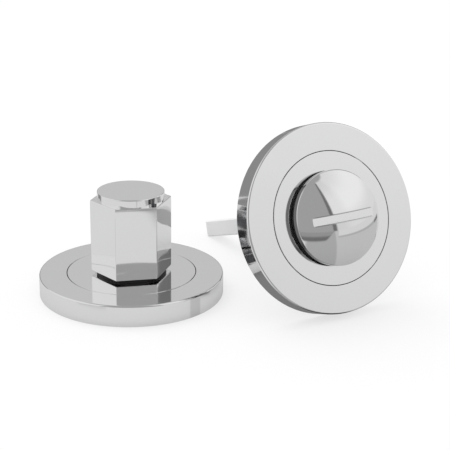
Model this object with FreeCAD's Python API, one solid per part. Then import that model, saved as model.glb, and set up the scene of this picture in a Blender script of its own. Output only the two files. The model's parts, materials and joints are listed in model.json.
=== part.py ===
import FreeCAD, Part
import math
import os

# A bathroom privacy lock set for an internal door, in its two halves as they lie before fitting.
# The turn half lies on its back: a round rose with a hexagonal knob that a thumb turns.
# The release half leans back on its rim and on the end of its square spindle. Its low dome has
# a coin slot, and the spindle goes through the door into the socket of the knob.
#
# Millimetres. The origin is the middle of the turn rose's rear face, on the surface it lies on.
# +Z goes up through the knob. Each half is made with its rear face at height 0 and its front
# towards +Z, and the release half is then leaned into its place.
# Flat brass and steel pieces are turned or cut from sheet, and the bush is moulded nylon.

# Rose, the same on both halves: a ring cover round an inner disc, on a base plate
ROSE_DIAMETER = 52.0
ROSE_HEIGHT = 6.0
COVER_WALL = 1.4
COVER_FACE = 1.6
COVER_EDGE_CHAMFER = 0.3
SEAM_DIAMETER = 36.6
SEAM_GAP = 0.16
SEAM_CHAMFER = 0.12
PLATE_THICKNESS = 2.0
PLATE_CLEARANCE = 0.1
PLATE_EDGE_CHAMFER = 0.3
SPIGOT_DIAMETER = 21.0
SPIGOT_CLEARANCE = 0.05
SPIGOT_SETBACK = 0.2

# Holes for fixing the rose to the door
DOOR_SCREW_COUNT = 4
DOOR_SCREW_CIRCLE = 42.2
DOOR_SCREW_HOLE = 4.2
DOOR_SCREW_SINK = 5.8
DOOR_SCREW_FIRST_ANGLE = 45.0

# Screws from behind that hold the inner disc on the plate
PLATE_SCREW_COUNT = 3
PLATE_SCREW_CIRCLE = 28.6
PLATE_SCREW_SHANK = 2.5
PLATE_SCREW_HEAD = 4.6
PLATE_SCREW_LENGTH = 4.6
PLATE_SCREW_THREAD_GAP = 0.02
PLATE_SCREW_HOLE_GAP = 0.1
PLATE_SCREW_TIP_ROOM = 0.4
PLATE_SCREW_FIRST_ANGLE = 90.0
CROSS_LENGTH = 2.4
CROSS_WIDTH = 0.55
CROSS_DEPTH = 0.7

# Stem, which both moving pieces have, and what runs on it
STEM_DIAMETER = 10.0
STEM_END = 0.5
STEM_END_CHAMFER = 0.2
STEM_CLEARANCE = 0.05
BUSH_SEAT_DIAMETER = 14.0
BUSH_SEAT_CLEARANCE = 0.05
BUSH_LENGTH = 3.0
BUSH_TOP_GAP = 0.1
COUNTERBORE_DIAMETER = 15.6

# Wave washer, thrust washer and circlip, in this order from the bush backwards
STACK_GAP = 0.05
WAVE_INNER_DIAMETER = 10.6
WAVE_OUTER_DIAMETER = 14.6
WAVE_THICKNESS = 0.2
WAVE_HEIGHT = 0.5
WAVE_COUNT = 3
WAVE_POINTS_EACH = 16
THRUST_INNER_DIAMETER = 10.2
THRUST_OUTER_DIAMETER = 14.8
THRUST_THICKNESS = 0.4
CLIP_GROOVE_DIAMETER = 9.1
CLIP_THICKNESS = 0.7
CLIP_GROOVE_GAP = 0.05
CLIP_OUTER_DIAMETER = 12.5
CLIP_OFFSET = 0.35
CLIP_MOUTH = 1.6
CLIP_LUG_DIAMETER = 2.5
CLIP_LUG_CIRCLE = 11.8
CLIP_LUG_ANGLE = 18.0
CLIP_LUG_HOLE = 1.0

# Turn knob
KNOB_ACROSS_FLATS = 19.85
KNOB_CORNER_ANGLE = 10.0
KNOB_GAP = 0.85
KNOB_PRISM_HEIGHT = 20.8
KNOB_CORNER_CHAMFER = 0.15
KNOB_RIM_CHAMFER = 0.2
KNOB_CAP_DIAMETER = 18.76
KNOB_CAP_HEIGHT = 2.25
KNOB_CAP_CHAMFER = 0.15
KNOB_BUSH_FLANGE = 18.4
SOCKET_SIDE = 5.2
SOCKET_DEPTH = 21.5
SOCKET_MOUTH_CHAMFER = 0.3

# Release dome
DOME_DIAMETER = 25.9
DOME_GAP = 1.25
DOME_SIDE = 1.75
DOME_CROWN = 4.65
DOME_EDGE_CHAMFER = 0.2
DOME_BUSH_FLANGE = 24.2
SLOT_WIDTH = 2.05
SLOT_DEPTH = 2.4
SLOT_ANGLE = 1.4

# Spindle of the release half, and the roll pin that holds it in the stem
SPINDLE_SIDE = 5.0
SPINDLE_REACH = 66.2
SPINDLE_CORNER_CHAMFER = 0.3
SPINDLE_TIP_CHAMFER = 0.4
SPINDLE_SEAT_DEPTH = 8.2
SPINDLE_SEAT_GAP = 0.05
SPINDLE_END_GAP = 0.1
PIN_DIAMETER = 2.0
PIN_WALL = 0.4
PIN_SLIT = 0.4
PIN_GAP = 0.02
PIN_HEIGHT = 4.6
PIN_SETBACK = 0.15

# Place of the release half beside the turn half
RELEASE_X = 52.2
RELEASE_Y = -8.7
RELEASE_TURNED = 26.2

# Sizes that follow from those above
TOLERANCE = 1e-4
FULL_TURN = 360.0
UP = FreeCAD.Vector(0, 0, 1)
ORIGIN = FreeCAD.Vector(0, 0, 0)

rose_r = ROSE_DIAMETER / 2
cover_bore_r = SEAM_DIAMETER / 2
disc_r = cover_bore_r - SEAM_GAP
plate_r = rose_r - COVER_WALL - PLATE_CLEARANCE
spigot_r = SPIGOT_DIAMETER / 2
stem_r = STEM_DIAMETER / 2
bush_seat_r = BUSH_SEAT_DIAMETER / 2
counterbore_r = COUNTERBORE_DIAMETER / 2
shoulder_z = ROSE_HEIGHT - BUSH_LENGTH
wave_top = shoulder_z - STACK_GAP
wave_bottom = wave_top - WAVE_THICKNESS - WAVE_HEIGHT
thrust_top = wave_bottom - STACK_GAP
thrust_bottom = thrust_top - THRUST_THICKNESS
clip_top = thrust_bottom - STACK_GAP
clip_bottom = clip_top - CLIP_THICKNESS
clip_groove_r = CLIP_GROOVE_DIAMETER / 2
knob_base = ROSE_HEIGHT + KNOB_GAP
knob_prism_top = knob_base + KNOB_PRISM_HEIGHT
knob_top = knob_prism_top + KNOB_CAP_HEIGHT
dome_r = DOME_DIAMETER / 2
dome_base = ROSE_HEIGHT + DOME_GAP
dome_side_top = dome_base + DOME_SIDE
dome_top = dome_side_top + DOME_CROWN
slot_floor = dome_top - SLOT_DEPTH
spindle_rest_length = SPINDLE_REACH - SPINDLE_TIP_CHAMFER
lean = math.atan((rose_r - SPINDLE_SIDE / 2) / spindle_rest_length)


def at_height(z):
    """A point on the axis."""
    return FreeCAD.Vector(0, 0, z)


def rod(radius, low, high):
    """A solid cylinder on the axis between two heights."""
    return Part.makeCylinder(radius, high - low, at_height(low))


def ring(outer_radius, inner_radius, low, high):
    """A plain washer shape on the axis."""
    return rod(outer_radius, low, high).cut(rod(inner_radius, low, high))


def turned(outline):
    """Turn a closed outline of (radius, height) corners about the axis."""
    corners = [FreeCAD.Vector(radius, 0, height) for radius, height in outline]
    face = Part.Face(Part.makePolygon(corners + corners[:1]))
    return face.revolve(ORIGIN, UP, FULL_TURN)


def circles_at(shape, radius, height):
    """The round edges of a shape about the axis at one radius and height."""
    found = []
    for edge in shape.Edges:
        if edge.Degenerated or not isinstance(edge.Curve, Part.Circle):
            continue
        curve = edge.Curve
        off_axis = math.hypot(curve.Center.x, curve.Center.y)
        if max(abs(curve.Radius - radius), abs(curve.Center.z - height), off_axis) < TOLERANCE:
            found.append(edge)
    return found


def on_circle(shape, diameter, count, first_angle):
    """Copies of a shape spaced evenly on a circle about the axis."""
    copies = []
    for index in range(count):
        copy = shape.copy()
        copy.translate(FreeCAD.Vector(diameter / 2, 0, 0))
        copy.rotate(ORIGIN, UP, first_angle + index * FULL_TURN / count)
        copies.append(copy)
    return copies


def square_bar(side, low, high):
    """A square bar on the axis between two heights."""
    return Part.makeBox(side, side, high - low, FreeCAD.Vector(-side / 2, -side / 2, low))


def square_funnel(side, low, flare):
    """A square mouth that narrows upwards by the flare on every side."""
    wires = []
    for half, height in ((side / 2 + flare, low), (side / 2, low + flare)):
        corners = [FreeCAD.Vector(x * half, y * half, height) for x, y in ((-1, -1), (1, -1), (1, 1), (-1, 1))]
        wires.append(Part.makePolygon(corners + corners[:1]))
    return Part.makeLoft(wires, True, True)


def along_axis_edges(shape):
    """The straight edges of a shape that run parallel to the axis."""
    found = []
    for edge in shape.Edges:
        if isinstance(edge.Curve, Part.Line) and abs(abs(edge.Curve.Direction.dot(UP)) - 1) < TOLERANCE:
            found.append(edge)
    return found


def flat_edges_at(shape, height):
    """The edges of a shape that lie at one height."""
    return [edge for edge in shape.Edges if all(abs(v.Z - height) < TOLERANCE for v in edge.Vertexes)]


def outer_rose():
    """The ring cover: a hollow cap with a wide bore, open at the back."""
    inside_r = rose_r - COVER_WALL
    under_face = ROSE_HEIGHT - COVER_FACE
    cover = turned([(cover_bore_r, under_face), (cover_bore_r, ROSE_HEIGHT), (rose_r, ROSE_HEIGHT),
                    (rose_r, 0), (inside_r, 0), (inside_r, under_face)])
    cover = cover.makeChamfer(COVER_EDGE_CHAMFER, circles_at(cover, rose_r, ROSE_HEIGHT))
    return cover.makeChamfer(SEAM_CHAMFER, circles_at(cover, cover_bore_r, ROSE_HEIGHT))


def inner_rose():
    """The inner disc, with a spigot through the plate, the bush's seat and tapped holes behind."""
    disc = turned([(bush_seat_r, ROSE_HEIGHT), (disc_r, ROSE_HEIGHT), (disc_r, PLATE_THICKNESS),
                   (spigot_r, PLATE_THICKNESS), (spigot_r, SPIGOT_SETBACK), (counterbore_r, SPIGOT_SETBACK),
                   (counterbore_r, shoulder_z), (bush_seat_r, shoulder_z)])
    disc = disc.makeChamfer(SEAM_CHAMFER, circles_at(disc, disc_r, ROSE_HEIGHT))
    tapped = rod(PLATE_SCREW_SHANK / 2 + PLATE_SCREW_THREAD_GAP, PLATE_THICKNESS,
                 PLATE_SCREW_LENGTH + PLATE_SCREW_TIP_ROOM)
    return disc.cut(on_circle(tapped, PLATE_SCREW_CIRCLE, PLATE_SCREW_COUNT, PLATE_SCREW_FIRST_ANGLE))


def sink_depth(wide, narrow):
    """Depth of a right-angled countersink between two diameters."""
    return (wide - narrow) / 2


def base_plate():
    """The steel plate that is fixed to the door and carries the disc and the cover."""
    plate = ring(plate_r, spigot_r + SPIGOT_CLEARANCE, 0, PLATE_THICKNESS)
    plate = plate.makeChamfer(PLATE_EDGE_CHAMFER, circles_at(plate, plate_r, PLATE_THICKNESS))
    sink = sink_depth(DOOR_SCREW_SINK, DOOR_SCREW_HOLE)
    door_hole = rod(DOOR_SCREW_HOLE / 2, 0, PLATE_THICKNESS).fuse(
        Part.makeCone(DOOR_SCREW_HOLE / 2, DOOR_SCREW_SINK / 2, sink, at_height(PLATE_THICKNESS - sink)))
    narrow = PLATE_SCREW_SHANK + 2 * PLATE_SCREW_HOLE_GAP
    wide = PLATE_SCREW_HEAD + 2 * PLATE_SCREW_HOLE_GAP
    disc_hole = rod(narrow / 2, 0, PLATE_THICKNESS).fuse(
        Part.makeCone(wide / 2, narrow / 2, sink_depth(wide, narrow), ORIGIN))
    holes = on_circle(door_hole, DOOR_SCREW_CIRCLE, DOOR_SCREW_COUNT, DOOR_SCREW_FIRST_ANGLE)
    holes += on_circle(disc_hole, PLATE_SCREW_CIRCLE, PLATE_SCREW_COUNT, PLATE_SCREW_FIRST_ANGLE)
    return plate.cut(holes)


def plate_screws():
    """Countersunk cross-head screws from behind, as one group."""
    head = sink_depth(PLATE_SCREW_HEAD, PLATE_SCREW_SHANK)
    screw = rod(PLATE_SCREW_SHANK / 2, 0, PLATE_SCREW_LENGTH).fuse(
        Part.makeCone(PLATE_SCREW_HEAD / 2, PLATE_SCREW_SHANK / 2, head, ORIGIN)).removeSplitter()
    for length, width in ((CROSS_LENGTH, CROSS_WIDTH), (CROSS_WIDTH, CROSS_LENGTH)):
        bar = Part.makeBox(length, width, CROSS_DEPTH, FreeCAD.Vector(-length / 2, -width / 2, 0))
        screw = screw.cut(bar)
    return Part.makeCompound(on_circle(screw, PLATE_SCREW_CIRCLE, PLATE_SCREW_COUNT, PLATE_SCREW_FIRST_ANGLE))


def bush(flange_diameter, moving_base):
    """The black top-hat bush: its tube lines the disc and its flange carries the moving piece."""
    bore_r = stem_r + STEM_CLEARANCE
    tube_r = bush_seat_r - BUSH_SEAT_CLEARANCE
    flange_top = moving_base - BUSH_TOP_GAP
    return turned([(bore_r, shoulder_z), (tube_r, shoulder_z), (tube_r, ROSE_HEIGHT),
                   (flange_diameter / 2, ROSE_HEIGHT), (flange_diameter / 2, flange_top), (bore_r, flange_top)])


def flat_face(*corners):
    """A flat face between its corners."""
    return Part.Face(Part.makePolygon(list(corners) + [corners[0]]))


def wave_circle(radius):
    """Points round the axis that rise and fall as a sine of the angle."""
    middle = (wave_bottom + wave_top - WAVE_THICKNESS) / 2
    points = []
    for index in range(WAVE_COUNT * WAVE_POINTS_EACH):
        angle = 2 * math.pi * index / (WAVE_COUNT * WAVE_POINTS_EACH)
        height = middle + WAVE_HEIGHT / 2 * math.sin(WAVE_COUNT * angle)
        points.append(FreeCAD.Vector(radius * math.cos(angle), radius * math.sin(angle), height))
    return points


def wave_washer():
    """The spring steel wave washer that gives the turn its drag, in small flat faces."""
    lift = at_height(WAVE_THICKNESS)
    inner = wave_circle(WAVE_INNER_DIAMETER / 2)
    outer = wave_circle(WAVE_OUTER_DIAMETER / 2)
    faces = []
    for index in range(len(inner)):
        near_in, near_out = inner[index - 1], outer[index - 1]
        far_in, far_out = inner[index], outer[index]
        for rise in (at_height(0), lift):
            faces.append(flat_face(near_in + rise, near_out + rise, far_out + rise))
            faces.append(flat_face(near_in + rise, far_out + rise, far_in + rise))
        faces.append(flat_face(near_in, far_in, far_in + lift, near_in + lift))
        faces.append(flat_face(near_out, far_out, far_out + lift, near_out + lift))
    washer = Part.Solid(Part.makeShell(faces))
    if washer.Volume < 0:
        washer.reverse()
    return washer


def thrust_washer():
    """The flat washer between the wave washer and the circlip."""
    return ring(THRUST_OUTER_DIAMETER / 2, THRUST_INNER_DIAMETER / 2, thrust_bottom, thrust_top)


def circlip():
    """An external circlip: a ring that is wider opposite its mouth, with two holed lugs."""
    body = Part.makeCylinder(CLIP_OUTER_DIAMETER / 2, CLIP_THICKNESS, FreeCAD.Vector(-CLIP_OFFSET, 0, clip_bottom))
    lug = rod(CLIP_LUG_DIAMETER / 2, clip_bottom, clip_top)
    hole = rod(CLIP_LUG_HOLE / 2, clip_bottom, clip_top)
    holes = []
    for side in (-1, 1):
        body = body.fuse(on_circle(lug, CLIP_LUG_CIRCLE, 1, side * CLIP_LUG_ANGLE))
        holes += on_circle(hole, CLIP_LUG_CIRCLE, 1, side * CLIP_LUG_ANGLE)
    mouth = Part.makeBox(CLIP_OUTER_DIAMETER, CLIP_MOUTH, CLIP_THICKNESS,
                         FreeCAD.Vector(0, -CLIP_MOUTH / 2, clip_bottom))
    bore = rod(clip_groove_r + CLIP_GROOVE_GAP, clip_bottom, clip_top)
    return body.removeSplitter().cut([bore, mouth] + holes)


def stem(top):
    """The round stem with its circlip groove, up to the piece that it belongs to."""
    shaft = rod(stem_r, STEM_END, top)
    shaft = shaft.makeChamfer(STEM_END_CHAMFER, circles_at(shaft, stem_r, STEM_END))
    groove = ring(stem_r + STEM_CLEARANCE, clip_groove_r, clip_bottom - STACK_GAP, clip_top + STACK_GAP)
    return shaft.cut(groove)


def turn_knob():
    """The knob: a hexagonal prism with a round cap, turned in one with its socketed stem."""
    corner_r = KNOB_ACROSS_FLATS / 2 / math.cos(math.pi / 6)
    corners = []
    for index in range(6):
        angle = index * math.pi / 3
        corners.append(FreeCAD.Vector(corner_r * math.cos(angle), corner_r * math.sin(angle), knob_base))
    prism = Part.Face(Part.makePolygon(corners + corners[:1])).extrude(at_height(KNOB_PRISM_HEIGHT))
    prism = prism.makeChamfer(KNOB_CORNER_CHAMFER, along_axis_edges(prism))
    rims = flat_edges_at(prism, knob_base) + flat_edges_at(prism, knob_prism_top)
    prism = prism.makeChamfer(KNOB_RIM_CHAMFER, rims)
    cap = rod(KNOB_CAP_DIAMETER / 2, knob_prism_top, knob_top)
    cap = cap.makeChamfer(KNOB_CAP_CHAMFER, circles_at(cap, KNOB_CAP_DIAMETER / 2, knob_top))
    socket = square_bar(SOCKET_SIDE, STEM_END, STEM_END + SOCKET_DEPTH)
    mouth = square_funnel(SOCKET_SIDE, STEM_END, SOCKET_MOUTH_CHAMFER)
    knob = prism.fuse([cap, stem(knob_base)]).removeSplitter().cut([socket, mouth])
    knob.rotate(ORIGIN, UP, KNOB_CORNER_ANGLE)
    return knob


def release_dome():
    """The low dome with its coin slot, turned in one with its stem."""
    rim_point = FreeCAD.Vector(dome_r, 0, dome_side_top)
    top_point = at_height(dome_top)
    sphere_r = (dome_r ** 2 + DOME_CROWN ** 2) / (2 * DOME_CROWN)
    half_angle = math.asin(dome_r / sphere_r) / 2
    on_crown = FreeCAD.Vector(sphere_r * math.sin(half_angle), 0,
                              dome_top - sphere_r * (1 - math.cos(half_angle)))
    base_middle = at_height(dome_base)
    base_rim = FreeCAD.Vector(dome_r, 0, dome_base)
    outline = Part.Wire([Part.makeLine(base_middle, base_rim), Part.makeLine(base_rim, rim_point),
                         Part.Arc(rim_point, on_crown, top_point).toShape(),
                         Part.makeLine(top_point, base_middle)])
    dome = Part.Face(outline).revolve(ORIGIN, UP, FULL_TURN)
    dome = dome.makeChamfer(DOME_EDGE_CHAMFER, circles_at(dome, dome_r, dome_side_top))
    slot = Part.makeBox(DOME_DIAMETER, SLOT_WIDTH, SLOT_DEPTH,
                        FreeCAD.Vector(-dome_r, -SLOT_WIDTH / 2, slot_floor))
    slot.rotate(ORIGIN, UP, SLOT_ANGLE)
    seat = square_bar(SPINDLE_SIDE + 2 * SPINDLE_SEAT_GAP, STEM_END, STEM_END + SPINDLE_SEAT_DEPTH)
    return dome.fuse(stem(dome_base)).removeSplitter().cut([slot, seat, pin_hole()])


def pin_hole():
    """The cross hole through the stem and the spindle."""
    return Part.makeCylinder(PIN_DIAMETER / 2 + PIN_GAP, STEM_DIAMETER, FreeCAD.Vector(-stem_r, 0, PIN_HEIGHT),
                             FreeCAD.Vector(1, 0, 0))


def release_spindle():
    """The square steel spindle, with eased corners and a tapered far end."""
    top = STEM_END + SPINDLE_SEAT_DEPTH - SPINDLE_END_GAP
    bar = square_bar(SPINDLE_SIDE, -SPINDLE_REACH, top)
    bar = bar.makeChamfer(SPINDLE_CORNER_CHAMFER, along_axis_edges(bar))
    bar = bar.makeChamfer(SPINDLE_TIP_CHAMFER, flat_edges_at(bar, -SPINDLE_REACH))
    return bar.cut(pin_hole())


def release_pin():
    """The slit spring pin across the stem, through the spindle."""
    length = STEM_DIAMETER - 2 * PIN_SETBACK
    start = FreeCAD.Vector(-length / 2, 0, PIN_HEIGHT)
    across = FreeCAD.Vector(1, 0, 0)
    tube = Part.makeCylinder(PIN_DIAMETER / 2, length, start, across)
    bore = Part.makeCylinder(PIN_DIAMETER / 2 - PIN_WALL, length, start, across)
    slit = Part.makeBox(length, PIN_SLIT, PIN_DIAMETER, FreeCAD.Vector(-length / 2, -PIN_SLIT / 2, PIN_HEIGHT))
    return tube.cut([bore, slit])


def release_place():
    """Where the release half lies: its rear rim and the tip of its spindle on the surface."""
    turned_angle = math.radians(RELEASE_TURNED)
    front = FreeCAD.Vector(math.cos(lean) * math.sin(turned_angle), -math.cos(lean) * math.cos(turned_angle),
                           math.sin(lean))
    across = FreeCAD.Vector(math.cos(turned_angle), math.sin(turned_angle), 0)
    up_the_face = front.cross(across)
    centre = FreeCAD.Vector(RELEASE_X, RELEASE_Y, rose_r * math.cos(lean))
    return FreeCAD.Placement(FreeCAD.Matrix(
        across.x, up_the_face.x, front.x, centre.x,
        across.y, up_the_face.y, front.y, centre.y,
        across.z, up_the_face.z, front.z, centre.z,
        0, 0, 0, 1))


def rose_pieces(half, flange_diameter, moving_base):
    """The pieces that stay still on one half."""
    return {
        half + "_outer_rose": outer_rose(),
        half + "_inner_rose": inner_rose(),
        half + "_base_plate": base_plate(),
        half + "_plate_screws": plate_screws(),
        half + "_bush": bush(flange_diameter, moving_base),
        half + "_wave_washer": wave_washer(),
        half + "_thrust_washer": thrust_washer(),
        half + "_circlip": circlip(),
    }


def turn_half():
    """Every piece of the turn half, in its place."""
    pieces = rose_pieces("turn", KNOB_BUSH_FLANGE, knob_base)
    pieces["turn_knob"] = turn_knob()
    return pieces


def release_half():
    """Every piece of the release half, leaned into its place."""
    pieces = rose_pieces("release", DOME_BUSH_FLANGE, dome_base)
    pieces["release_dome"] = release_dome()
    pieces["release_spindle"] = release_spindle()
    pieces["release_pin"] = release_pin()
    place = release_place()
    for piece in pieces.values():
        piece.Placement = place.multiply(piece.Placement)
    return pieces


def main():
    os.makedirs("parts", exist_ok=True)
    pieces = turn_half()
    pieces.update(release_half())
    for name, piece in pieces.items():
        piece.exportStep("parts/" + name + ".step")
        print(name, "solids", len(piece.Solids), "valid", piece.isValid(), "mm3", round(piece.Volume, 2))


main()
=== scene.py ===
import json
import math

import bmesh
import bpy
import numpy as np
from mathutils import Matrix, Vector


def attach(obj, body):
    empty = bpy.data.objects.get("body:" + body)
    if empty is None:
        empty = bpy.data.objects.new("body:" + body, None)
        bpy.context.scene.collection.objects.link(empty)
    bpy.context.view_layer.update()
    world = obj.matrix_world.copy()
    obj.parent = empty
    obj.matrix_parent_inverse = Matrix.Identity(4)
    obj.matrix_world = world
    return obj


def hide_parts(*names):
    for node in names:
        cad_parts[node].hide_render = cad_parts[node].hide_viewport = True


bl_info = {
    "name": "Bathroom Thumb Turn Lock",
    "version": (1, 0, 0),
    "blender": (4, 5, 0),
    "location": "View3D > Sidebar > Turn Lock",
    "description": "Fine surfaces, plated finishes and a studio for the two halves of a privacy lock set",
    "category": "Object",
}

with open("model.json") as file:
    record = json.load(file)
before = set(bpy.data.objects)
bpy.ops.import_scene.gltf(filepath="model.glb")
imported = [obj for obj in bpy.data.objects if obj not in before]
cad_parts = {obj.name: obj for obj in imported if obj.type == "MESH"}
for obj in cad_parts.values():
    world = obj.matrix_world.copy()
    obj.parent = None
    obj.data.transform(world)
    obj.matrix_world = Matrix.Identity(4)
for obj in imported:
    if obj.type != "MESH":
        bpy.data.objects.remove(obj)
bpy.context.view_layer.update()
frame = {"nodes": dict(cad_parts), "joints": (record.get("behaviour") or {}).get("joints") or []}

# One millimetre in metres, and what keeps flats flat, joins points and marks sharp edges
MM = 0.001
GUARD = 0.03 * MM
WELD = 0.0005 * MM
SHARP_ANGLE = math.radians(40)

# Fineness of the surfaces: points once round, and along the other curves
AROUND = 288
BUSH_AROUND = 144
CUTTER_AROUND = 48
CORNER_STEPS = 6
FLAT_POINTS = 43
FALL_POINTS = 9
CROWN_POINTS = 36
CROWN_RIM_POINTS = 14
CROWN_COLUMNS = 121
SLOT_END_COLUMNS = 9
SLOT_EDGE_POINTS = 6

# Photograph's frame and the camera solved from its outlines
IMAGE_SIZE = 450
FOCAL_PIXELS = 1189.417
SENSOR = 36.0
CAMERA_SHIFT = (-0.25 / IMAGE_SIZE, 0.375 / IMAGE_SIZE)
CAMERA_PLACE = (11.803 * MM, -315.639 * MM, 129.802 * MM)
CAMERA_PITCH = math.radians(19.2329)
CAMERA_YAW = math.radians(2.6501)
CAMERA_ROLL = math.radians(0.8961)

# Half the floor's side and its drop below the lock, the lamp's direction and spread, and the lean of the
# right card's upright edges in degrees of azimuth for one of elevation
FLOOR_HALF = 3.0
FLOOR_DROP = 0.02 * MM
LAMP_DIRECTION = Vector((0.35, -0.40, -1.0))
LAMP_SPREAD = math.radians(50)
CARD_LEAN = -0.16


def size(description, millimetres):
    """A length property, given in millimetres and kept in metres."""
    return bpy.props.FloatProperty(description=description, default=millimetres * MM, min=0.0, precision=5,
                                   unit="LENGTH")


def angle(description, degrees):
    """An angle property, given in degrees and kept in radians."""
    return bpy.props.FloatProperty(description=description, default=math.radians(degrees),
                                   subtype="ANGLE")


def share(description, value, high=1.0):
    """A plain number property from nothing to a limit."""
    return bpy.props.FloatProperty(description=description, default=value, min=0.0, max=high)


def colour(description, value):
    """A colour property."""
    return bpy.props.FloatVectorProperty(description=description, default=value, min=0.0, max=1.0, size=3,
                                         subtype="COLOR")


class LockRoseSizes(bpy.types.PropertyGroup):
    """Sizes of the rose, the same on both halves."""
    radius: size("Outer radius of the ring cover", 26.0)
    height: size("Height of the front face above the door", 6.0)
    wall: size("Wall of the ring cover", 1.4)
    face: size("Thickness of the ring cover's face", 1.6)
    edge: size("Rounding of the ring cover's front edge", 0.5)
    seam_radius: size("Bore of the ring cover", 18.3)
    seam_gap: size("Gap between the ring cover and the inner disc", 0.16)
    seam_round: size("Rounding of both edges of the seam", 0.12)
    plate: size("Thickness of the plate behind the disc", 2.0)
    spigot_radius: size("Radius of the disc's spigot", 10.5)
    spigot_setback: size("Height of the spigot's end above the door", 0.2)
    bush_seat_radius: size("Radius of the bore that holds the bush", 7.0)
    counterbore_radius: size("Radius of the bore that holds the washers", 7.8)
    shoulder: size("Height of the step between the two bores", 3.0)
    tapped_radius: size("Radius of the three tapped holes behind the disc", 1.27)
    tapped_circle: size("Distance of the tapped holes from the axis", 14.3)
    tapped_top: size("Height at which the tapped holes end", 5.0)


class LockStemSizes(bpy.types.PropertyGroup):
    """Sizes of the stem, which both moving pieces have, and of the bush."""
    radius: size("Radius of the stem", 5.0)
    end: size("Height of the stem's end above the door", 0.5)
    end_chamfer: size("Chamfer of the stem's end", 0.2)
    groove_radius: size("Radius at the bottom of the circlip groove", 4.55)
    groove_low: size("Lower side of the circlip groove", 1.0)
    groove_high: size("Upper side of the circlip groove", 1.8)
    bush_bore: size("Radius of the bush's bore", 5.05)
    bush_tube: size("Outer radius of the bush's tube", 6.95)
    bush_gap: size("Gap between the bush and the moving piece", 0.1)
    bush_round: size("Rounding of the bush's edges", 0.1)


class LockKnobSizes(bpy.types.PropertyGroup):
    """Sizes of the hexagonal knob."""
    flats: size("Width of the hexagon across its flats", 19.85)
    base: size("Height of the hexagon's underside", 6.85)
    prism_top: size("Height of the hexagon's upper side", 27.65)
    top: size("Height of the cap's top", 29.9)
    cap_radius: size("Radius of the round cap", 9.38)
    corner_round: size("Rounding of the six upright corners", 0.28)
    rim_round: size("Rounding of the hexagon's and the cap's rims", 0.25)
    turned: angle("Angle of the hexagon's first corner", 10.0)
    fall: size("Fall of the flats towards the upright corners, from polishing", 0.05)
    fall_reach: size("Distance from a corner over which a flat falls", 4.8)
    rim_fall: size("Fall of the flats towards both rims, from polishing", 0.03)
    rim_fall_reach: size("Distance from a rim over which a flat falls", 1.6)
    flange_radius: size("Radius of the bush's flange under the knob", 9.85)
    socket: size("Side of the square socket", 5.2)
    socket_top: size("Height at which the socket ends", 22.0)
    socket_flare: size("Chamfer of the socket's mouth", 0.3)


class LockDomeSizes(bpy.types.PropertyGroup):
    """Sizes of the release dome."""
    radius: size("Radius of the dome", 12.95)
    base: size("Height of the dome's underside", 7.25)
    side_top: size("Height at which the crown begins", 9.0)
    top: size("Height of the crown", 13.65)
    edge: size("Rounding between side and crown", 0.25)
    slot_width: size("Width of the coin slot", 2.05)
    slot_depth: size("Depth of the coin slot below the crown", 2.4)
    slot_edge: size("Rounding of the slot's long edges", 0.25)
    slot_turned: angle("Angle of the slot across the dome", 1.4)
    flange_radius: size("Radius of the bush's flange under the dome", 12.1)
    seat: size("Side of the spindle's square seat", 5.1)
    seat_top: size("Height at which the seat ends", 8.7)


class LockFinish(bpy.types.PropertyGroup):
    """Colours and gloss of the finishes, and shares of painted shade."""
    chrome: colour("Polished plating, as it reflects", (0.95, 0.95, 0.955))
    chrome_roughness: share("Roughness of the polished plating", 0.045)
    # Painted shade on the dome's side wall and along the slot's edges
    dome_wall_painted_shade: share("Share of light that the dome's side wall loses", 0.6)
    slot_edge_painted_shade: share("Share of light that the slot's edges lose", 0.30)
    plate: colour("Black passivated back plates", (0.13, 0.132, 0.138))
    screw: colour("Bright plated screws", (0.66, 0.65, 0.61))
    spring: colour("Circlips, washers and pin", (0.26, 0.27, 0.30))
    spindle: colour("Satin plated spindle", (0.92, 0.92, 0.925))
    spindle_metal: share("How metallic the spindle's satin plating looks", 0.12)
    # Painted shade: how much darker the spindle is in mirrors
    spindle_mirror_painted_shade: share("Share of light that the spindle loses in mirrors, on its shaded side", 0.45)
    nylon: colour("Moulded bushes", (0.010, 0.010, 0.010))


class LockStudio(bpy.types.PropertyGroup):
    """Levels of the studio."""
    white: share("Backdrop as the camera sees it", 1.0, 2.0)
    right_card: share("Large white card on the right", 0.81, 2.0)
    front_grey: share("Room behind the camera", 0.345, 2.0)
    back_high: share("Wall behind, above the backdrop", 0.545, 2.0)
    back_low: share("Wall behind, near the floor", 0.25, 2.0)
    left_card: share("White card on the left", 0.74, 2.0)
    card_border: share("Dark edge of the right card", 0.15, 2.0)
    fill: share("Light from all round on matt surfaces", 1.0, 2.0)
    lamp: share("Soft lamp", 0.85, 10.0)


class LockFloor(bpy.types.PropertyGroup):
    """Levels of the floor, and of its parts as mirrors show them. The mirrored levels are painted shade
    and painted light on the floor's glow.
    """
    lit: share("Lit part of the white that the camera sees", 0.28)
    own: share("Glowing part of the white that the camera sees", 0.665)
    mirrored_lit: share("Lit share of a mirrored level", 0.40)
    mirrored_own: share("Glowing share of a mirrored level", 0.50)
    near_turn: share("Round the turn half", 0.69)
    # Painted shade on the floor in front of the release half, as mirrors show it
    near_release_painted_shade: share("In front of the release half", 0.40)
    # Painted light where the right card lights the floor, as mirrors show it
    near_card_painted_light: share("There, where the right card lights the floor", 0.52)
    front: share("In front of the lock", 0.15)
    far_front: share("Far in front", 0.29)
    low_card: share("Right card's foot, low over the floor", 0.66)
    low_border: share("Border under that foot", 0.41)
    low_corner: share("Far end of that border", 0.20)
    # Painted shade: the floor behind the lock is darker as mirrors show it
    back: share("Behind the lock", 0.235)
    shade: share("Deep shade", 0.03)
    knob_corner: share("What the knob's left front corner mirrors", 0.48)
    rim_front: share("What the turn rim mirrors right of its front", 0.55)


# Frames of the two halves: the turn half's is the origin, and the release half's comes from its hinge

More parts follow.
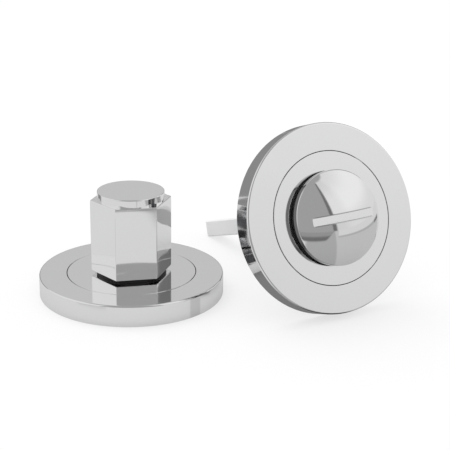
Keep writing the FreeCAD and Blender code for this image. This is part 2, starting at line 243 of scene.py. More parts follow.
def release_frame():
    """The matrix from the release half's own frame, front towards +Z, to its place."""
    hinge = next(joint for joint in frame["joints"] if joint["name"] == "release_hinge")
    front = Vector(hinge["axis"]).normalized()
    across = Vector((0, 0, 1)).cross(front).normalized()
    up_the_face = front.cross(across)
    matrix = Matrix((across, up_the_face, front)).transposed().to_4x4()
    matrix.translation = Vector(hinge["pos_m"])
    return matrix


PLACES = {"turn": Matrix.Identity(4), "release": release_frame()}


# Outlines and grids

def unit(vector):
    """A vector of length one."""
    return vector / np.linalg.norm(vector)


def rounded_outline(corners, closed=False):
    """Points along straight sides between (radius, height, rounding) corners. A corner with a rounding
    becomes an arc tangent to both its sides, and a guard point past each end keeps the flats flat."""
    points = []
    for place, (x, y, rounding) in enumerate(corners):
        here = np.array((x, y))
        if rounding == 0 or (not closed and place in (0, len(corners) - 1)):
            points.append(here)
            continue
        back = unit(np.array(corners[place - 1][:2]) - here)
        ahead = unit(np.array(corners[(place + 1) % len(corners)][:2]) - here)
        half = math.acos(np.clip(back @ ahead, -1, 1)) / 2
        reach = rounding / math.tan(half)
        centre = here + unit(back + ahead) * rounding / math.sin(half)
        start = here + back * reach
        end = here + ahead * reach
        turn = math.pi - 2 * half
        t = np.linspace(0, 1, CORNER_STEPS + 1)[:, None]
        arc = centre + (np.sin((1 - t) * turn) * (start - centre)
                        + np.sin(t * turn) * (end - centre)) / math.sin(turn)
        points += [start + back * GUARD, *arc, end + ahead * GUARD]
    return np.array(points)


def turned_grid(outline, around):
    """Grid of points: each (radius, height) of the outline at even angles round the axis."""
    angles = np.arange(around) * 2 * np.pi / around
    radius, height = outline.T
    return np.stack([np.outer(radius, np.cos(angles)), np.outer(radius, np.sin(angles)),
                     np.outer(height, np.ones(around))], 2)


def section_grid(sections, heights):
    """Grid of points: each (columns, 2) section at its height."""
    sections = np.array(sections)
    flat = np.broadcast_to(np.array(heights)[:, None, None], sections.shape[:2] + (1,))
    return np.concatenate([sections, flat], 2)


def quads(shape, first, wrap_rows, wrap_columns):
    """Corner numbers of the quads of a grid, closed round its rows or columns if asked."""
    index = first + np.arange(shape[0] * shape[1]).reshape(shape[:2])
    if wrap_rows:
        index = np.vstack([index, index[:1]])
    if wrap_columns:
        index = np.hstack([index, index[:, :1]])
    return np.stack([index[:-1, :-1], index[1:, :-1], index[1:, 1:], index[:-1, 1:]], 2).reshape(-1, 4)


def new_object(name, data):
    """An object in the scene."""
    made = bpy.data.objects.new(name, data)
    bpy.context.scene.collection.objects.link(made)
    return made


def new_piece(name, grids, place):
    """A closed mesh from (points, wrap rows, wrap columns) grids, welded where they meet."""
    points = []
    faces = []
    first = 0
    for grid, wrap_rows, wrap_columns in grids:
        points.append(grid.reshape(-1, 3))
        faces.append(quads(grid.shape, first, wrap_rows, wrap_columns))
        first += grid.shape[0] * grid.shape[1]
    matrix = np.array(place)
    placed = np.concatenate(points) @ matrix[:3, :3].T + matrix[:3, 3]
    mesh = bpy.data.meshes.new(name)
    mesh.from_pydata(placed.tolist(), [], np.concatenate(faces).tolist())
    solid = bmesh.new()
    solid.from_mesh(mesh)
    bmesh.ops.remove_doubles(solid, verts=solid.verts, dist=WELD)
    bmesh.ops.dissolve_degenerate(solid, edges=solid.edges, dist=WELD / 10)
    bmesh.ops.recalc_face_normals(solid, faces=solid.faces)
    solid.to_mesh(mesh)
    solid.free()
    mesh.shade_smooth()
    mesh.set_sharp_from_angle(angle=SHARP_ANGLE)
    return new_object(name, mesh)


def turned_piece(name, outline, place, around=AROUND, closed=True):
    """A piece turned from an outline that is closed, or else ends on the axis."""
    return new_piece(name, [(turned_grid(outline, around), closed, True)], place)


def dress(piece, node, body, material):
    """A new piece stands for a CAD node, rides on its body and takes a material."""
    piece.data.materials.clear()
    piece.data.materials.append(material)
    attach(piece, body)
    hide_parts(node)


def cut(piece, cutters):
    """Take the cutters out of a piece for good, and remove them."""
    for cutter in cutters:
        step = piece.modifiers.new("cut", "BOOLEAN")
        step.operation = "DIFFERENCE"
        step.solver = "EXACT"
        step.object = cutter
        bpy.context.view_layer.update()
        depsgraph = bpy.context.evaluated_depsgraph_get()
        made = bpy.data.meshes.new_from_object(piece.evaluated_get(depsgraph))
        made.name = piece.data.name
        piece.modifiers.remove(step)
        piece.data = made
        bpy.data.objects.remove(cutter)
    piece.data.set_sharp_from_angle(angle=SHARP_ANGLE)


def rod_cutter(radius, low, high, place):
    """A closed cylinder between two heights, to cut with."""
    outline = np.array([(0, low), (radius, low), (radius, high), (0, high)])
    return turned_piece("cutter", outline, place, CUTTER_AROUND, closed=False)


# The pieces' outlines

def outer_rose_outline(rose):
    """Section of the hollow ring cover."""
    inside = rose.radius - rose.wall
    under = rose.height - rose.face
    small = rose.seam_round / 2
    return rounded_outline([(rose.seam_radius, under, small),
                            (rose.seam_radius, rose.height, rose.seam_round),
                            (rose.radius, rose.height, rose.edge), (rose.radius, 0, small),
                            (inside, 0, small), (inside, under, small)], closed=True)


def inner_rose_outline(rose):
    """Section of the inner disc with its spigot and stepped bore."""
    disc = rose.seam_radius - rose.seam_gap
    small = rose.seam_round / 2
    return rounded_outline([(rose.bush_seat_radius, rose.height, small),
                            (disc, rose.height, rose.seam_round), (disc, rose.plate, small),
                            (rose.spigot_radius, rose.plate, 0),
                            (rose.spigot_radius, rose.spigot_setback, small),
                            (rose.counterbore_radius, rose.spigot_setback, small),
                            (rose.counterbore_radius, rose.shoulder, 0),
                            (rose.bush_seat_radius, rose.shoulder, small)], closed=True)


def stem_corners(stem, base):
    """Corners down the stem from the moving piece's underside to the edge of its end."""
    return [(stem.radius, base, 0), (stem.radius, stem.groove_high, 0),
            (stem.groove_radius, stem.groove_high, 0), (stem.groove_radius, stem.groove_low, 0),
            (stem.radius, stem.groove_low, 0), (stem.radius, stem.end + stem.end_chamfer, 0),
            (stem.radius - stem.end_chamfer, stem.end, 0)]


def falling(distance, reach, fall):
    """Fall of a polished flat: the cube of the share of the reach that is left, and nothing past it."""
    return fall * np.maximum(0, 1 - np.asarray(distance) / reach) ** 3


def hexagon(knob, inset):
    """Points round a hexagon with rounded corners, moved in along its normals. One sector is an arc at a
    corner and the side after it, whose points crowd towards its ends and fall there as polished flats do.
    The sector is turned six times."""
    apothem = knob.flats / 2
    rounding = knob.corner_round
    corner = (apothem - rounding) / math.cos(math.pi / 6)
    normals = np.radians(np.linspace(-30, 30, CORNER_STEPS + 1))
    reach = rounding - inset - knob.fall
    arc = np.stack([corner + reach * np.cos(normals), reach * np.sin(normals)], 1)
    half = (apothem - rounding) * math.tan(math.pi / 6)
    along = half * np.sin(np.linspace(-math.pi / 2, math.pi / 2, FLAT_POINTS))[1:-1]
    out = apothem - inset - falling(half - np.abs(along), knob.fall_reach, knob.fall)
    middle = math.pi / 6
    side = out[:, None] * np.array([math.cos(middle), math.sin(middle)]) \
        + along[:, None] * np.array([-math.sin(middle), math.cos(middle)])
    sector = np.concatenate([arc, side])
    turns = np.arange(6) * math.pi / 3
    cosines, sines = np.cos(turns), np.sin(turns)
    rotations = np.array([[cosines, sines], [-sines, cosines]]).transpose(2, 0, 1)
    return (sector @ rotations).reshape(-1, 2)


def circle_section(angles, radius):
    """Points at the given angles on a circle."""
    return radius * np.stack([np.cos(angles), np.sin(angles)], 1)


def square_section(angles, side, turned=0.0):
    """Points at the given angles on a square."""
    local = angles - turned
    reach = side / 2 / np.maximum(np.abs(np.cos(local)), np.abs(np.sin(local)))
    return reach[:, None] * np.stack([np.cos(angles), np.sin(angles)], 1)


def knob_levels(knob, stem):
    """Sections and heights of the knob: cap, hexagon, stem and socket, from the top to the far end."""
    apothem = knob.flats / 2
    base_section = hexagon(knob, 0)
    angles = np.arctan2(base_section[:, 1], base_section[:, 0])
    cap = rounded_outline([(0, knob.top, 0), (knob.cap_radius, knob.top, knob.rim_round),
                           (knob.cap_radius, knob.prism_top, 0)])
    sections = [circle_section(angles, radius) for radius, height in cap]
    heights = list(cap[:, 1])
    rim = rounded_outline([(0, knob.prism_top, 0), (apothem, knob.prism_top, knob.rim_round),
                           (apothem, knob.base, knob.rim_round), (0, knob.base, 0)])[1:-1]
    half = len(rim) // 2
    wall_top, wall_bottom = rim[half - 1, 1], rim[half, 1]
    down = knob.rim_fall_reach * np.linspace(0, 1, FALL_POINTS)[1:]
    insets = [apothem - reach + knob.rim_fall for reach in rim[:, 0]]
    insets[half:half] = falling([*down, *down[::-1]], knob.rim_fall_reach, knob.rim_fall).tolist()
    sections += [hexagon(knob, inset) for inset in insets]
    heights += [*rim[:half, 1], *(wall_top - down), *(wall_bottom + down[::-1]), *rim[half:, 1]]
    shaft = np.array(stem_corners(stem, knob.base))
    sections += [circle_section(angles, radius) for radius in shaft[:, 0]]
    heights += list(shaft[:, 1])
    for side, height in ((knob.socket + 2 * knob.socket_flare, stem.end),
                         (knob.socket, stem.end + knob.socket_flare), (knob.socket, knob.socket_top),
                         (0, knob.socket_top)):
        sections.append(square_section(angles, side))
        heights.append(height)
    return sections, heights


def crown_outline(dome):
    """The dome from the slot's edge outwards: a circle's arc, and a small arc into the upright side.
    The ring at which the arc has fallen to the slot's floor is one of the points. Returns the points and
    the number of that ring."""
    rise = dome.top - dome.side_top
    sphere = (dome.radius ** 2 + rise ** 2) / (2 * rise)
    middle = dome.top - sphere
    nearest = dome.slot_width / 2 + dome.slot_edge
    floor_ring = math.sqrt(sphere ** 2 - (sphere - dome.slot_depth) ** 2)
    edge_angle = math.asin((dome.radius - dome.edge) / (sphere - dome.edge))
    inner = np.linspace(math.asin(nearest / sphere), math.asin(floor_ring / sphere), CROWN_POINTS)
    outer = np.linspace(math.asin(floor_ring / sphere), edge_angle, CROWN_RIM_POINTS)[1:]
    arc = np.concatenate([inner, outer])
    crown = np.stack([sphere * np.sin(arc), middle + sphere * np.cos(arc)], 1)
    edge_height = middle + math.sqrt((sphere - dome.edge) ** 2 - (dome.radius - dome.edge) ** 2)
    small = np.linspace(edge_angle, math.pi / 2, CORNER_STEPS + 1)[1:]
    edge = np.stack([dome.radius - dome.edge + dome.edge * np.sin(small),
                     edge_height + dome.edge * np.cos(small)], 1)
    return np.concatenate([crown, edge]), len(inner) - 1


def ring_patch(outline, low, high, columns):
    """Grid over part of each ring of an outline, between two angles that change from ring to ring."""
    t = np.linspace(0, 1, columns)
    angles = low[:, None] * (1 - t) + high[:, None] * t
    radius, height = outline.T
    return np.stack([radius[:, None] * np.cos(angles), radius[:, None] * np.sin(angles),
                     np.broadcast_to(height[:, None], angles.shape)], 2), angles[-1]


def dome_grids(dome, stem):
    """Surfaces of the dome: two crown halves, the crown past each end of the slot, the slot's floor, walls
    and rounded edges, and the side with the stem and its square seat. The edges' rounding shrinks with the
    height of the wall, to nothing at the slot's ends."""
    outline, floor_ring = crown_outline(dome)
    half_slot = dome.slot_width / 2
    floor_height = dome.top - dome.slot_depth
    rounding = np.clip((outline[:, 1] - floor_height) / 2, 0, dome.slot_edge)
    slot_angle = np.arcsin(np.clip((half_slot + rounding) / outline[:, 0], 0, 1))
    grids = []
    rim_angles = []
    for turn in (0, np.pi):
        patch, last = ring_patch(outline, turn + slot_angle, turn + np.pi - slot_angle, CROWN_COLUMNS)
        grids.append((patch, False, False))
        rim_angles.append(last[:-1])
        ends = turn + np.pi
        patch, last = ring_patch(outline[floor_ring:], ends - slot_angle[floor_ring:],
                                 ends + slot_angle[floor_ring:], SLOT_END_COLUMNS)
        grids.append((patch, False, False))
        rim_angles.append(last[:-1])
    mirrored = np.concatenate([np.arange(floor_ring, 0, -1), np.arange(floor_ring + 1)])
    edge = rounding[mirrored]
    heights = outline[mirrored, 1]
    across = np.sqrt(np.maximum(outline[mirrored, 0] ** 2 - (half_slot + edge) ** 2, 0))
    across[:floor_ring] *= -1
    quarter = np.linspace(0, np.pi / 2, SLOT_EDGE_POINTS)[:, None]
    for side in (-1, 1):
        beside = side * (half_slot + edge * (1 - np.sin(quarter)))
        bent = heights - edge * (1 - np.cos(quarter))
        strip = np.stack([np.broadcast_to(across, beside.shape), beside, bent], 2)
        grids.append((strip, False, False))
        grids.append((np.stack([strip[-1], strip[-1] * (1, 1, 0) + (0, 0, floor_height)]), False, False))
    fan = np.linspace(-slot_angle[floor_ring], slot_angle[floor_ring], SLOT_END_COLUMNS)
    ring = outline[floor_ring, 0]
    floor = np.stack([np.outer(ring * np.cos(fan), across / across[-1]),
                      np.outer(ring * np.sin(fan), np.ones(len(across))),
                      np.full((len(fan), len(across)), floor_height)], 2)
    grids.append((floor, False, False))
    angles = np.concatenate(rim_angles)
    side_and_stem = np.array([tuple(outline[-1]), (dome.radius, dome.base + dome.edge / 2),
                              (dome.radius - dome.edge / 2, dome.base)]
                             + [corner[:2] for corner in stem_corners(stem, dome.base)])
    sections = [circle_section(angles, radius) for radius in side_and_stem[:, 0]]
    heights = list(side_and_stem[:, 1])
    for side, height in ((dome.seat, stem.end), (dome.seat, dome.seat_top), (0, dome.seat_top)):
        sections.append(square_section(angles, side, -dome.slot_turned))
        heights.append(height)
    grids.append((section_grid(sections, heights), False, True))
    return grids


def bush_outline(rose, stem, flange_radius, moving_base):
    """Section of the top-hat bush."""
    small = stem.bush_round
    top = moving_base - stem.bush_gap
    return rounded_outline([(stem.bush_bore, rose.shoulder, 0), (stem.bush_tube, rose.shoulder, small),
                            (stem.bush_tube, rose.height, 0), (flange_radius, rose.height, small),
                            (flange_radius, top, small), (stem.bush_bore, top, small)], closed=True)


# Shader nodes, and node groups for effects that several finishes share

def feed(node, inputs):
    """Join sockets to a node's inputs, or give the inputs values."""
    for label, value in inputs.items():
        if isinstance(value, bpy.types.NodeSocket):
            node.id_data.links.new(value, node.inputs[label])
        else:
            node.inputs[label].default_value = value


def new_node(tree, kind, inputs, **settings):
    """A shader node with its settings and inputs."""
    node = tree.nodes.new("ShaderNode" + kind)
    for name, setting in settings.items():
        setattr(node, name, setting)
    feed(node, inputs)
    return node


def math_node(operation, *values):
    """A math node on sockets and numbers, with a socket first. Returns its output."""
    return new_node(values[0].id_data, "Math", dict(enumerate(values)), operation=operation).outputs[0]


def product(first, *others):
    """The product of a socket and other sockets or numbers."""
    for other in others:
        first = math_node("MULTIPLY", first, other)
    return first


def map_range(value, from_low, from_high, to_low, to_high, kind="SMOOTHSTEP"):
    """A value mapped from one range to another, and kept inside it."""
    inputs = {"Value": value, "From Min": from_low, "From Max": from_high, "To Min": to_low,
              "To Max": to_high}
    return new_node(value.id_data, "MapRange", inputs, interpolation_type=kind).outputs["Result"]


def blend(mask, under, over):
    """One value where the mask is 0, and another where it is 1."""
    return map_range(mask, 0.0, 1.0, under, over, "LINEAR")


def step_up(value, low, high):
    """A mask that goes smoothly from 0 to 1 between two values."""
    return map_range(value, low, high, 0.0, 1.0)


def step_down(value, low, high):
    """A mask that goes smoothly from 1 to 0 between two values."""
    return map_range(value, low, high, 1.0, 0.0)


def mixed(factor, first, second, kind="MIX"):
    """A mix of two colours, which are the mix node's inputs 6 and 7 and its output 2."""
    inputs = {"Factor": factor, 6: first, 7: second}
    return new_node(factor.id_data, "Mix", inputs, data_type="RGBA", blend_type=kind).outputs[2]


def noise(vector, scale, detail):
    """The value of a noise texture on a vector."""
    inputs = {"Vector": vector, "Scale": scale, "Detail": detail}
    return new_node(vector.id_data, "TexNoise", inputs).outputs["Fac"]


def bumped(height, strength, distance):
    """The normal of a surface with a bump."""
    inputs = {"Height": height, "Strength": strength, "Distance": distance}
    return new_node(height.id_data, "Bump", inputs).outputs["Normal"]


def stretched(vector, stretch):
    """A vector multiplied by a stretch on each axis."""
    return new_node(vector.id_data, "VectorMath", {0: vector, 1: stretch}, operation="MULTIPLY").outputs[0]


def separated(vector):
    """The three parts of a vector."""
    return new_node(vector.id_data, "SeparateXYZ", {0: vector}).outputs[:]


def from_axis(x, y):
    """A place's distance from the Z axis."""
    return math_node("SQRT", math_node("ADD", product(x, x), product(y, y)))


def direction_angles(direction):
    """Azimuth of a direction, from +Y towards +X, and its elevation, in degrees."""
    x, y, z = separated(direction)
    return math_node("DEGREES", math_node("ARCTAN2", x, y)), math_node("DEGREES", math_node("ARCSINE", z))


def node_group(name, inputs, outputs):
    """An empty shader node group, with its inputs' defaults. Sockets named Vector or Normal are vectors,
    and the others numbers. Returns the sockets inside and the output node."""
    tree = bpy.data.node_groups.new(name, "ShaderNodeTree")
    for side, labels in (("INPUT", inputs), ("OUTPUT", outputs)):
        for label in labels:
            kind = "NodeSocketVector" if label in ("Vector", "Normal") else "NodeSocketFloat"
            socket = tree.interface.new_socket(label, in_out=side, socket_type=kind)
            if side == "INPUT" and kind == "NodeSocketFloat":
                socket.default_value = inputs[label]
    return tree.nodes.new("NodeGroupInput").outputs, tree.nodes.new("NodeGroupOutput")


def polish_group():
    """Polished metal: cloudy haze in the roughness, and buffing hairlines in two directions."""
    inputs = {"Vector": None, "Roughness": 0.05, "Haze": 0.02, "Hairlines": 0.1}
    inside, out = node_group("Polish", inputs, ("Roughness", "Tone", "Normal"))
    vector = inside["Vector"]
    cloud = noise(vector, scale=90.0, detail=3.0)
    fine = noise(vector, scale=1400.0, detail=2.0)
    hazy = math_node("ADD", inside["Roughness"], product(cloud, inside["Haze"]))
    speckle = product(fine, product(inside["Haze"], 0.5))
    first = noise(stretched(vector, (60.0, 2600.0, 900.0)), scale=1.0, detail=2.0)
    second = noise(stretched(vector, (2200.0, 80.0, 1500.0)), scale=1.0, detail=2.0)
    hairlines = bumped(math_node("ADD", first, second), inside["Hairlines"], distance=0.002 * MM)
    feed(out, {"Roughness": math_node("ADD", hazy, speckle), "Tone": cloud, "Normal": hairlines})


def rolled_group():
    """Rolled or drawn plated steel: long grain along one axis, and cloudy plating."""
    inputs = {"Vector": None, "Roughness": 0.3, "Grain": 0.4}
    inside, out = node_group("Rolled grain", inputs, ("Roughness", "Tone", "Normal"))
    vector = inside["Vector"]
    grain = noise(stretched(vector, (2600.0, 2600.0, 60.0)), scale=1.0, detail=3.0)
    cloud = noise(vector, scale=260.0, detail=4.0)
    grainy = math_node("MULTIPLY_ADD", grain, 0.18, inside["Roughness"])
    feed(out, {"Roughness": math_node("MULTIPLY_ADD", cloud, 0.12, grainy),
               "Tone": math_node("MULTIPLY_ADD", grain, 0.4, product(cloud, 0.6)),
               "Normal": bumped(grain, inside["Grain"], distance=0.01 * MM)})


def card_group():
    """A soft-edged rectangle as a mask over two values, such as azimuth and elevation, or X and Y."""
    inputs = {"First": 0.0, "Second": 0.0, "First from": 0.0, "First to": 1.0, "Second from": 0.0,
              "Second to": 1.0, "Softness": 0.05}
    inside, out = node_group("Studio card", inputs, ("Mask",))
    soft = inside["Softness"]
    masks = []
    for label in ("First", "Second"):
        for step, limit in ((step_up, inside[label + " from"]), (step_down, inside[label + " to"])):
            masks.append(step(inside[label], math_node("SUBTRACT", limit, soft),
                              math_node("ADD", limit, soft)))
    feed(out, {"Mask": product(*masks)})


def shared_group(tree, name, build, inputs):
    """Place a node group, which is built once. Returns its outputs."""
    if name not in bpy.data.node_groups:
        build()
    return new_node(tree, "Group", inputs, node_tree=bpy.data.node_groups[name]).outputs


def card(first, second, limits, softness):
    """A card's mask. Its limits are for the first value, from and to, and then for the second."""
    inputs = dict(zip(("First from", "First to", "Second from", "Second to"), limits))
    inputs.update({"First": first, "Second": second, "Softness": softness})
    return shared_group(first.id_data, "Studio card", card_group, inputs)["Mask"]


# Materials

def new_material(name):
    """A material with only a Principled BSDF. Returns the material, its tree and the shader."""
    material = bpy.data.materials.new(name)
    material.use_nodes = True
    return material, material.node_tree, material.node_tree.nodes["Principled BSDF"]


def object_vector(tree, rotation=None):
    """Object coordinates, turned if a rotation is given."""
    coordinates = tree.nodes.new("ShaderNodeTexCoord").outputs["Object"]
    if rotation is None:
        return coordinates
    return new_node(tree, "Mapping", {"Vector": coordinates, "Rotation": rotation}).outputs[0]


def toned(tone, base, low, high):
    """A colour that runs from a darker to a lighter shade of the base with the tone."""
    darker, lighter = ([min(1.0, channel * level) for channel in base] + [1.0] for level in (low, high))
    return mixed(tone, darker, lighter)


def metal(name, group_name, build, base, values, spread, rotation=None):
    """A bare metal finish whose roughness, tone and normal come from a shared group."""
    found = bpy.data.materials.get(name)
    if found:
        return found
    material, tree, shader = new_material(name)
    outputs = shared_group(tree, group_name, build, {"Vector": object_vector(tree, rotation), **values})
    feed(shader, {"Metallic": 1.0, "Base Color": toned(outputs["Tone"], base, *spread),
                  "Roughness": outputs["Roughness"], "Normal": outputs["Normal"]})
    return material


def chrome(finish, name="polished_chrome"):
    """Mirror-polished plating."""
    values = {"Roughness": finish.chrome_roughness, "Haze": 0.03, "Hairlines": 0.12}
    return metal(name, "Polish", polish_group, finish.chrome, values, spread=(0.985, 1.015))


def rolled(name, base, roughness, grain, spread, rotation=None):
    """Rolled or drawn plated steel."""
    values = {"Roughness": roughness, "Grain": grain}
    return metal(name, "Rolled grain", rolled_group, base, values, spread, rotation)


def darkened(material, share_taken):
    """Take a share of the light out of a finish's colour."""
    shader = material.node_tree.nodes["Principled BSDF"]
    full = shader.inputs["Base Color"].links[0].from_socket
    feed(shader, {"Base Color": mixed(share_taken, full, (0.0, 0.0, 0.0, 1.0), "MULTIPLY")})
    return material


def dome_painted_shade(material, place, dome, finish):
    """Darken a finish on the dome's side wall and along the slot's edges: painted shade, for the dark
    reflection in the wall and the shade along the slot.
    Each border is a soft step of a few tenths of a millimetre."""
    tree = material.node_tree
    inputs = {"Vector": object_vector(tree), "Location": place.translation, "Rotation": place.to_euler()}
    local = new_node(tree, "Mapping", inputs, vector_type="TEXTURE").outputs[0]
    along, across, height = separated(local)
    outside = step_up(from_axis(along, across), dome.radius - 0.3 * MM, dome.radius - 0.15 * MM)
    below = step_down(height, dome.side_top - 0.4 * MM, dome.side_top - 0.1 * MM)
    # Painted shade on the side wall, for the dark it mirrors
    wall = product(outside, below, finish.dome_wall_painted_shade)
    from_middle = math_node("ABSOLUTE", across)
    from_edge = math_node("SUBTRACT", from_middle, dome.slot_width / 2 + dome.slot_edge / 2)
    near = step_down(math_node("ABSOLUTE", from_edge), dome.slot_edge / 2, dome.slot_edge)
    slot_floor = dome.top - dome.slot_depth
    above = step_up(height, slot_floor + 0.05 * MM, slot_floor + 0.5 * MM)
    # Painted shade along the slot's edges
    edges = product(near, above, finish.slot_edge_painted_shade)
    return darkened(material, math_node("MAXIMUM", wall, edges))


def satin_with_mirror_shade(material, finish):
    """Take the mirror out of a finish, as satin plating does. In mirrors its colour is darkened: painted
    shade, for the shaded side that mirrors show.
    """
    feed(material.node_tree.nodes["Principled BSDF"], {"Metallic": finish.spindle_metal})
    # Painted shade: the colour is darker for glossy rays only
    mirrored = material.node_tree.nodes.new("ShaderNodeLightPath").outputs["Is Glossy Ray"]
    return darkened(material, product(mirrored, finish.spindle_mirror_painted_shade))


def nylon(finish):
    """Moulded black nylon, slightly waxy, with a fine sparked texture."""
    material, tree, shader = new_material("black_nylon")
    vector = object_vector(tree)
    cloud = noise(vector, scale=300.0, detail=3.0)
    sparks = noise(vector, scale=2500.0, detail=1.0)
    feed(shader, {"Base Color": toned(cloud, finish.nylon, low=0.7, high=1.4),
                  "Roughness": map_range(cloud, 0.3, 0.7, 0.42, 0.56, "LINEAR"),
                  "Specular IOR Level": 0.25,
                  "Normal": bumped(sparks, strength=0.1, distance=0.01 * MM)})
    return material


# Operators, one for each piece or group of like pieces

class LockStudioOperator(bpy.types.Operator):
    """Build the white floor, the studio's surroundings, the lamp and the camera"""
    bl_idname = "turn_lock.studio"
    bl_label = "Studio"

    def execute(self, context):
        studio = context.scene.lock_studio
        self.make_world(context, studio)
        self.make_floor(context.scene.lock_floor)
        self.make_lamp(studio)
        self.make_camera(context)
        context.scene.view_settings.view_transform = "Standard"
        return {"FINISHED"}

    def make_world(self, context, studio):
        """White to the camera, an even fill for matt surfaces, and cards and grey walls for mirrors."""
        world = bpy.data.worlds.new("studio")
        context.scene.world = world
        world.use_nodes = True
        tree = world.node_tree
        tree.nodes.clear()
        azimuth, elevation = direction_angles(tree.nodes.new("ShaderNodeTexCoord").outputs["Generated"])
        leaning = math_node("MULTIPLY_ADD", elevation, CARD_LEAN, azimuth)
        foot_fall = map_range(elevation, 6, 28, 0.84, 1.0)
        side_fall = map_range(azimuth, 110, 132, 1.03, 0.94)
        head_fall = map_range(elevation, 40, 75, 1.0, 0.84)
        right_level = product(foot_fall, side_fall, studio.right_card, head_fall)
        # Each card's azimuth, level, limits and softness in degrees. A later card covers those before.
        cards = [
            (azimuth, studio.left_card, (-145, -62, -5, 62), 5),
            (azimuth, studio.back_low, (-62, 32, -90, 13), 4),
            (azimuth, studio.back_high, (-62, 30, 13, 62), 3),
            (azimuth, studio.card_border, (31, 45, -30, 60), 4),
            (leaning, studio.card_border, (138, 147, -12, 76), 1.2),
            (leaning, right_level, (42, 140.5, -4, 77), 1.6),
        ]
        level = studio.front_grey
        for around, value, limits, softness in cards:
            level = blend(card(around, elevation, limits, softness), level, value)
        path = tree.nodes.new("ShaderNodeLightPath").outputs
        shown = math_node("ADD", path["Is Glossy Ray"], path["Is Transmission Ray"])
        strength = blend(path["Is Camera Ray"], blend(shown, studio.fill, level), studio.white)
        background = new_node(tree, "Background", {"Color": (1.0, 1.0, 1.0, 1.0), "Strength": strength})
        new_node(tree, "OutputWorld", {"Surface": background.outputs[0]})

    def make_floor(self, levels):
        """A white floor that keeps soft shadows: part of its white is its own, and the rest is lit."""
        corners = [(x * FLOOR_HALF, y * FLOOR_HALF, -FLOOR_DROP)
                   for x, y in ((-1, -1), (1, -1), (1, 1), (-1, 1))]
        mesh = bpy.data.meshes.new("floor")
        mesh.from_pydata(corners, [], [(0, 1, 2, 3)])
        floor = new_object("floor", mesh)
        material, tree, shader = new_material("floor_white")
        tree.nodes.remove(shader)
        camera = tree.nodes.new("ShaderNodeLightPath").outputs["Is Camera Ray"]
        mirrored = self.mirrored_floor(tree, levels)
        lit = blend(camera, product(mirrored, levels.mirrored_lit), levels.lit)
        own = blend(camera, product(mirrored, levels.mirrored_own), levels.own)
        diffuse = new_node(tree, "BsdfDiffuse", {"Color": lit})
        glow = new_node(tree, "Emission", {"Strength": own})
        both = new_node(tree, "AddShader", {0: diffuse.outputs[0], 1: glow.outputs[0]})
        feed(tree.nodes["Material Output"], {"Surface": both.outputs[0]})
        mesh.materials.append(material)

    def mirrored_floor(self, tree, levels):
        """The floor's level as the chrome shows it: painted shade and painted light, darker where shade
        falls under and around the halves and lighter where the right card lights the floor. It depends on
        the place, in millimetres, and on the direction in degrees in which a mirror looks at it. A later
        part covers those before it."""
        x, y, height = separated(stretched(object_vector(tree), (1 / MM, 1 / MM, 1 / MM)))
        towards_mirror = tree.nodes.new("ShaderNodeNewGeometry").outputs["Incoming"]
        azimuth, elevation = direction_angles(stretched(towards_mirror, (-1.0, -1.0, -1.0)))
        distance = from_axis(x, y)

        def slanted(slope):
            return math_node("MULTIPLY_ADD", x, slope, y)

        def seen(*limits, softness):
            return card(azimuth, elevation, limits, softness)

        def spot(*limits, softness):
            return card(x, y, limits, softness)

        # Painted shade in front of the release half, and painted light where the right card lights the
        # floor
        release_side = product(step_up(x, 28, 40), step_down(slanted(-0.5), -3, 3))
        release_level = map_range(slanted(1.44), 63, 67, levels.near_release_painted_shade, levels.near_card_painted_light)
        front = product(step_down(y, -130, -100), step_down(slanted(1.44), 5, 20))
        front_level = map_range(y, -280, -150, levels.far_front, levels.front)
        left_back = product(step_up(y, 20, 35), step_down(slanted(0.9), 10, 20))
        behind = math_node("MAXIMUM", step_up(x, -10, 10), left_back)
        backwards = product(step_up(azimuth, -66, -56), step_down(azimuth, 4, 14))
        round_knob = product(step_up(distance, 35, 39), step_down(distance, 82, 86))
        parts = [
            (release_side, release_level),
            (front, front_level),
            (seen(44, 139, -10.6, 90, softness=0.6), levels.low_border),
            (seen(44, 64, -10.6, 90, softness=0.6), levels.low_corner),
            (seen(44, 139, -8.3, 90, softness=0.6), levels.low_card),
            (product(backwards, behind), levels.back),
            # Painted shade under the release half, as the turn rim's edge shows it
            (product(spot(33, 62, -30, 6, softness=2), step_up(azimuth, 60, 70)), levels.shade),
            (product(round_knob, seen(-150, -112, -22.92, -11.46, softness=1.72)), levels.knob_corner),
            # Painted shade behind the turn half, as the release rim shows it
            (product(spot(-21, 6, 40, 74, softness=4), seen(-36, -10, -40.11, -5.73, softness=1.72)),
             levels.shade),
            # In front of the release half, as the cap's side shows it
            (product(spot(30, 74, -105, -35, softness=2), seen(108, 157, -19.6, -16.2, softness=0.17)),
             levels.near_turn),
            (product(step_down(distance, 37, 40), seen(84, 101, -26.36, -20.05, softness=1.15)),
             levels.rim_front),
        ]
        level = levels.near_turn
        for mask, value in parts:
            level = blend(mask, level, value)
        return level

    def make_lamp(self, studio):
        """A wide soft lamp from behind on the left, which no mirror shows."""
        data = bpy.data.lights.new("soft_lamp", "SUN")
        data.energy = studio.lamp
        data.angle = LAMP_SPREAD
        lamp = new_object("soft_lamp", data)
        lamp.rotation_mode = "QUATERNION"
        lamp.rotation_quaternion = LAMP_DIRECTION.to_track_quat("-Z", "Y")
        lamp.visible_glossy = False

    def make_camera(self, context):
        """The photograph's camera: turned a little to the right, pitched down and rolled slightly."""
        data = bpy.data.cameras.new("camera")
        data.sensor_width = SENSOR
        data.lens = FOCAL_PIXELS * SENSOR / IMAGE_SIZE
        data.shift_x, data.shift_y = CAMERA_SHIFT
        camera = new_object("camera", data)
        turned = Matrix.Rotation(-CAMERA_YAW, 4, "Z")
        pitched = Matrix.Rotation(math.pi / 2 - CAMERA_PITCH, 4, "X")
        rolled_over = Matrix.Rotation(CAMERA_ROLL, 4, "Z")
        camera.matrix_world = Matrix.Translation(CAMERA_PLACE) @ turned @ pitched @ rolled_over
        context.scene.camera = camera


